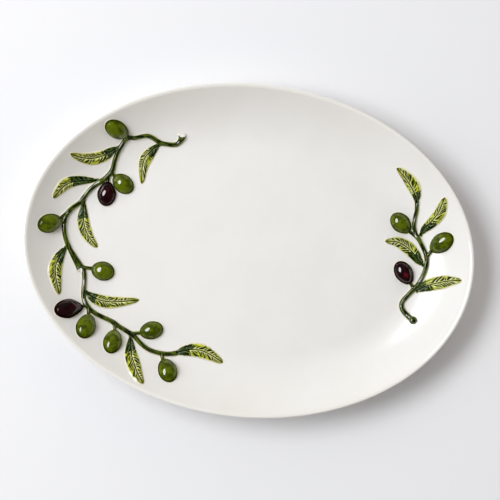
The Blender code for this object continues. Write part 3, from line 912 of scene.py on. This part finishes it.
def make_olive(name, olive, material, blush):
    """Turns an olive about its crown, then draws it out towards the stalk and lays it on the dish."""
    turn = math.radians(olive.heading)
    stalkward = Vector((math.cos(turn), math.sin(turn)))
    sideways = Vector((-stalkward.y, stalkward.x))
    shape = bmesh.new()
    profile = [shape.verts.new((reach, 0, height)) for reach, height in olive_profile()]
    edges = [shape.edges.new(pair) for pair in zip(profile, profile[1:])]
    bmesh.ops.spin(
        shape, geom=profile + edges, cent=(0, 0, 0), axis=(0, 0, 1),
        angle=math.tau, steps=OLIVE_SIDES, use_merge=True,
    )
    bmesh.ops.remove_doubles(shape, verts=shape.verts, dist=0.0001)
    rise = shape.verts.layers.float.new("rise")
    flush = shape.verts.layers.float.new("blush")
    for vertex in shape.verts:
        x, y, z = vertex.co
        narrowing = 1 - olive.taper * max(0.0, x) ** 2 / (abs(x) + OLIVE_TAPER_START)
        dome = max(0.0, z - BEVEL_RISE) * narrowing**OLIVE_DOME_TAPER
        dome *= 1 + OLIVE_UNEVENNESS * noise.noise(Vector((x, y, olive.heading)) * 1.3)
        z = min(z, BEVEL_RISE) + dome
        place = Vector(olive.centre) + stalkward * (x * olive.length / 2)
        place += sideways * (y * narrowing * olive.width / 2)
        vertex[rise] = z
        vertex[flush] = blush * math.exp(-((x - BLUSH_FROM_MIDDLE) ** 2 + y**2) / BLUSH_SPREAD**2)
        vertex.co = above(place.x, place.y, z)
    finish_piece(name, shape, material)


# The leaves

def leaf_half(leaf, part, side):
    """Half width of a leaf on one side, from its stalk through its belly to its tip."""
    widest = leaf.left if side > 0 else leaf.right
    blade = min(1.0, max(0.0, (part - LEAF_STALK_PART) / (1 - LEAF_STALK_PART)))
    belly = max(0.0, math.sin(math.pi * blade)) ** LEAF_FULLNESS
    thin = leaf.base + (LEAF_TIP_HALF - leaf.base) * part
    return thin + (widest - thin) * belly


def split_lane(lane, share):
    """Splits a lane of the grid into its place on the blade, 0 to 1, and on the bevel round it, 0 to 1."""
    out = abs(lane)
    blade_share = 1 - share
    return min(1.0, out / blade_share), max(0.0, (out - blade_share) / share)


def leaf_relief(leaf, side, across, half, run):
    """Height of the blade over the dish; how dark it is painted in a vein or in the line along the midrib
    groove, which is partly painted shade; and how much painted highlight it takes: on the pads between veins,
    on the midrib's walls and, where the paint also thins, at its edge.
    """
    off = across * half
    wide = ease(LEAF_FLAT_HALF, LEAF_CROWNED_HALF, half)

    ruffle = noise.noise(Vector((run / 6, side * 3.0 + off / 9, leaf.left)))
    beat = (run - off * VEIN_SLANT) / VEIN_PITCH + VEIN_WAVER * ruffle
    stroke = round(beat)
    near = abs(beat - stroke) * VEIN_PITCH
    luck = 0.5 + VEIN_LUCK * noise.noise(Vector((stroke * 3.7, side * 9.1, leaf.right)))
    fade = ease(0.5, 1.3, off) * (1 - ease(0.35 + 0.6 * luck, 0.65 + 0.6 * luck, across)) * wide
    cut = math.exp(-((near / (VEIN_HALF * (0.7 + 0.7 * luck))) ** 2)) * fade

    pad = (1 - across**LEAF_PAD_POWER) * wide
    valley = 1 - math.exp(-((off / MIDRIB_HALF) ** MIDRIB_POWER))
    height = BEVEL_RISE + LEAF_CROWN * pad * valley - VEIN_DEPTH * cut

    # A dark line along the bottom of the midrib groove: partly pooled glaze, partly painted shade
    midrib = math.exp(-((off / MIDRIB_SHADE_LINE) ** 2))
    # Painted highlight on the pads between veins, along the midrib's walls and towards the edge, where the
    # paint also thins
    between = math.exp(-(((near - VEIN_PITCH / 2) / PAD_PAINTED_HIGHLIGHT_HALF) ** 2))
    between *= math.exp(-(((off - PAD_PAINTED_HIGHLIGHT[0]) / PAD_PAINTED_HIGHLIGHT[1]) ** 2)) * luck
    wall = math.exp(-(((off - MIDRIB_WALL_HIGHLIGHT[0]) / MIDRIB_WALL_HIGHLIGHT[1]) ** 2))
    painted_highlight = max(between, 0.75 * wall, 0.5 * ease(0.82, 1.0, across)) * wide
    return height, max(midrib, 0.95 * cut), painted_highlight


def make_leaf(name, leaf, material):
    """Bends a fine grid along the midrib, raises its blade and veins, and bevels its edge to the dish."""
    shape = bmesh.new()
    layers = {key: shape.verts.layers.float.new(key) for key in ("rise", "vein", "painted_highlight", "deep", "tip")}
    bmesh.ops.create_grid(shape, x_segments=LEAF_STATIONS, y_segments=LEAF_LANES, size=1.0)
    raised = bmesh.ops.extrude_face_region(shape, geom=shape.faces[:])["geom"]
    top = {item for item in raised if isinstance(item, bmesh.types.BMVert)}
    length = length_of(leaf.midrib)
    places = {}
    for vertex in shape.verts:
        u, lane = vertex.co.x, vertex.co.y
        side = math.copysign(1.0, lane)
        along, end_out = split_lane(u, 2 * BEVEL_WIDTH / length)
        part = (1 + math.copysign(along, u)) / 2
        across, side_out = split_lane(lane, BEVEL_SHARE)
        half = leaf_half(leaf, part, side)
        height, vein, painted_highlight = leaf_relief(leaf, side, across, half, part * length)
        out = min(1.0, math.hypot(side_out, end_out))
        height = height * (1 - out) - LEAF_EDGE_SUNK * out

        middle = along_curve(leaf.midrib, part)
        ahead = along_curve(leaf.midrib, min(1, part + LEAF_LOOK))
        ahead -= along_curve(leaf.midrib, max(0, part - LEAF_LOOK))
        ahead.normalize()
        offset = side * (across * half + side_out * BEVEL_WIDTH)
        beyond = math.copysign(end_out, u) * BEVEL_WIDTH
        place = middle + Vector((-ahead.y, ahead.x)) * offset + ahead * beyond
        vertex.co = above(place.x, place.y, height if vertex in top else -LEAF_SUNK)

        limit = leaf.deep_left if side > 0 else leaf.deep_right
        deep = 1 - ease(limit - DEEP_BLEND, limit + DEEP_BLEND, part)
        painted = height + PAINT_REACH * (1 - across**4) * (1 - out)
        for layer, value in zip(layers.values(), (painted, vein, painted_highlight, deep, part)):
            vertex[layer] = value
        places[vertex] = (part * length / CENTIMETRE, offset / CENTIMETRE)
    lay_map(shape, places)
    finish_piece(name, shape, material)


# The studio

PHOTO_TILT = 6.63
CAMERA_HEIGHT = 1.5
PHOTO_SPAN = 0.4417
PHOTO_CENTRE = (0.0012, 0.0005)
KEY_HEADING = 165.0
KEY_ELEVATION = 54.0
KEY_DISTANCE = 1.8
KEY_SIZE = (1.35, 0.80)
KEY_POWER = 21.8
KEY_COLOUR = (0.964, 0.972, 1.0)
FLOOR_HALF = 3.0

# The studio's pale walls, each with its heading, elevation, breadth and brightness
GLOWS = (
    (180.0, 37.0, 38.0, (1.52, 1.61, 1.66)),
    (90.0, 37.0, 38.0, (0.80, 0.80, 0.78)),
    (0.0, 37.0, 38.0, (0.24, 0.27, 0.33)),
    (315.0, 8.0, 26.0, (0.95, 0.90, 0.80)),
    (0.0, 8.0, 24.0, (1.25, 1.05, 0.78)),
    (255.0, 12.0, 30.0, (1.00, 0.90, 0.75)),
    (90.0, 10.0, 30.0, (0.95, 0.85, 0.65)),
)
GLOW_CORE = 0.4
BLACK = (0.0, 0.0, 0.0, 1.0)
CEILING = (0.14, 0.13, 0.125, 1.0)
BACKDROP = (0.82, 0.825, 0.84, 1.0)
GLOSSY_SHARE = 0.04


def make_camera():
    """Looks straight down, turned so that the platter lies a little aslant in the picture."""
    data = bpy.data.cameras.new("camera")
    data.sensor_width = 36.0
    data.lens = data.sensor_width * CAMERA_HEIGHT / PHOTO_SPAN
    camera = bpy.data.objects.new("camera", data)
    camera.location = (*PHOTO_CENTRE, HEIGHT * MM + CAMERA_HEIGHT)
    camera.rotation_euler = (0, 0, math.radians(PHOTO_TILT))
    bpy.context.scene.collection.objects.link(camera)
    bpy.context.scene.camera = camera


def direction_of(heading, elevation):
    """The direction at a heading and an elevation in degrees, seen from the middle of the dish."""
    turn, climb = math.radians(heading), math.radians(elevation)
    return Vector((math.cos(climb) * math.cos(turn), math.cos(climb) * math.sin(turn), math.sin(climb)))


def make_key_light():
    """A large soft oval light that faces the middle of the dish."""
    data = bpy.data.lights.new("key", "AREA")
    data.shape = "ELLIPSE"
    data.size, data.size_y = KEY_SIZE
    data.energy = KEY_POWER
    data.color = KEY_COLOUR
    light = bpy.data.objects.new("key", data)
    light.location = direction_of(KEY_HEADING, KEY_ELEVATION) * KEY_DISTANCE
    light.rotation_mode = "QUATERNION"
    light.rotation_quaternion = light.location.to_track_quat("Z", "Y")
    bpy.context.scene.collection.objects.link(light)


def make_floor():
    """A plain pale floor."""
    shape = bmesh.new()
    bmesh.ops.create_grid(shape, x_segments=8, y_segments=8, size=FLOOR_HALF)
    mesh = bpy.data.meshes.new("floor")
    shape.to_mesh(mesh)
    shape.free()
    floor = bpy.data.objects.new("floor", mesh)
    bpy.context.scene.collection.objects.link(floor)
    material, _, shader = start_material("floor_white", FLOOR_PREVIEW)
    shader.inputs["Base Color"].default_value = FLOOR_WHITE
    shader.inputs["Roughness"].default_value = 0.8
    shader.inputs["Specular IOR Level"].default_value = 0.2
    mesh.materials.append(material)


def make_sky():
    """A dim ceiling over pale walls that glow softly, and a plain backdrop for the camera."""
    world = bpy.data.worlds.new("studio")
    world.use_nodes = True
    tree = world.node_tree
    direction = add_node(tree, "ShaderNodeTexCoord").outputs["Generated"]
    total = add_node(tree, "ShaderNodeRGB").outputs[0]
    total.default_value = CEILING
    for heading, elevation, breadth, colour in GLOWS:
        aim = {0: direction, 1: direction_of(heading, elevation)}
        facing = add_node(tree, "ShaderNodeVectorMath", aim, operation="DOT_PRODUCT").outputs["Value"]
        edge, core = math.radians(breadth), math.radians(breadth * GLOW_CORE)
        lit = mix_colour(tree, ramp(tree, facing, math.cos(edge), math.cos(core)), BLACK, (*colour, 1.0))
        sum_up = {0: 1.0, 6: total, 7: lit}
        total = add_node(tree, "ShaderNodeMix", sum_up, data_type="RGBA", blend_type="ADD").outputs[2]
    path = add_node(tree, "ShaderNodeLightPath").outputs
    dim = mix_colour(tree, 1 - GLOSSY_SHARE, total, BLACK)
    total = mix_colour(tree, path["Is Glossy Ray"], total, dim)
    total = mix_colour(tree, path["Is Camera Ray"], total, BACKDROP)
    tree.links.new(total, tree.nodes["Background"].inputs["Color"])
    bpy.context.scene.world = world


def make_studio():
    bpy.context.scene.view_settings.view_transform = "Standard"
    make_sky()
    make_key_light()
    make_floor()
    make_camera()


def make_sprig(sprig, stem_paint, leaf_paint, green_paint, ripe_paint):
    make_stems(sprig, stem_paint)
    for number, olive in enumerate(sprig.olives, 1):
        name = f"{sprig.name}_olive_{number}"
        if olive.ripe:
            make_olive(name, olive, ripe_paint, sprig.blush)
        else:
            make_olive(name, olive, green_paint, 0.0)
    for number, leaf in enumerate(sprig.leaves, 1):
        make_leaf(f"{sprig.name}_leaf_{number}", leaf, leaf_paint)


def main():
    make_dish(make_cream_glaze())
    stem_paint = make_stem_paint()
    leaf_paint = make_leaf_paint()
    green_paint = make_olive_paint("green_olive_paint", OLIVE_GREEN)
    ripe_paint = make_olive_paint("ripe_olive_paint", OLIVE_RIPE)
    for sprig in (LARGE_SPRIG, SMALL_SPRIG):
        make_sprig(sprig, stem_paint, leaf_paint, green_paint, ripe_paint)
    make_studio()


main()
